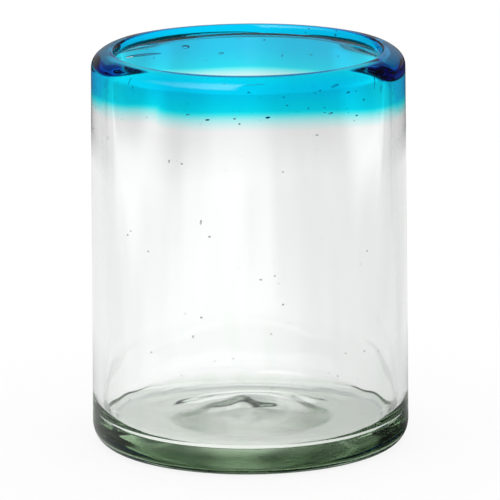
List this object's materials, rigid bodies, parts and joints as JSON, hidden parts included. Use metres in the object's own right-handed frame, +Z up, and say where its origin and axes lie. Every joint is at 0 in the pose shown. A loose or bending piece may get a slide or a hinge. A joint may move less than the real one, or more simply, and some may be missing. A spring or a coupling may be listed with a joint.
{
  "type": "double old fashioned glass",
  "caption": "Straight hand-blown glass tumbler with a heavy green-tinged base, a pushed-up floor and a thick rounded aqua lip, for short iced drinks.",
  "frame": {"origin": "middle of the flat ring that the glass stands on, in the plane of the table", "axes": "+Z up along the glass's axis; +X and +Y are any two level directions"},
  "size_m": [0.0864, 0.0864, 0.108],
  "materials": {
    "clear_glass": "fire-polished, with fine seeds and faint ripples",
    "green_tinged_glass": "fire-polished, green where the glass is thick",
    "aqua_glass": "fire-polished, transparent aqua with seeds",
    "broken_glass": "rough where it was broken off"
  },
  "bodies": {
    "root": {"clear_bubble": "clear_glass", "base_gather": "green_tinged_glass", "aqua_lip": "aqua_glass", "pontil_scar": "broken_glass"}
  },
  "joints": []
}
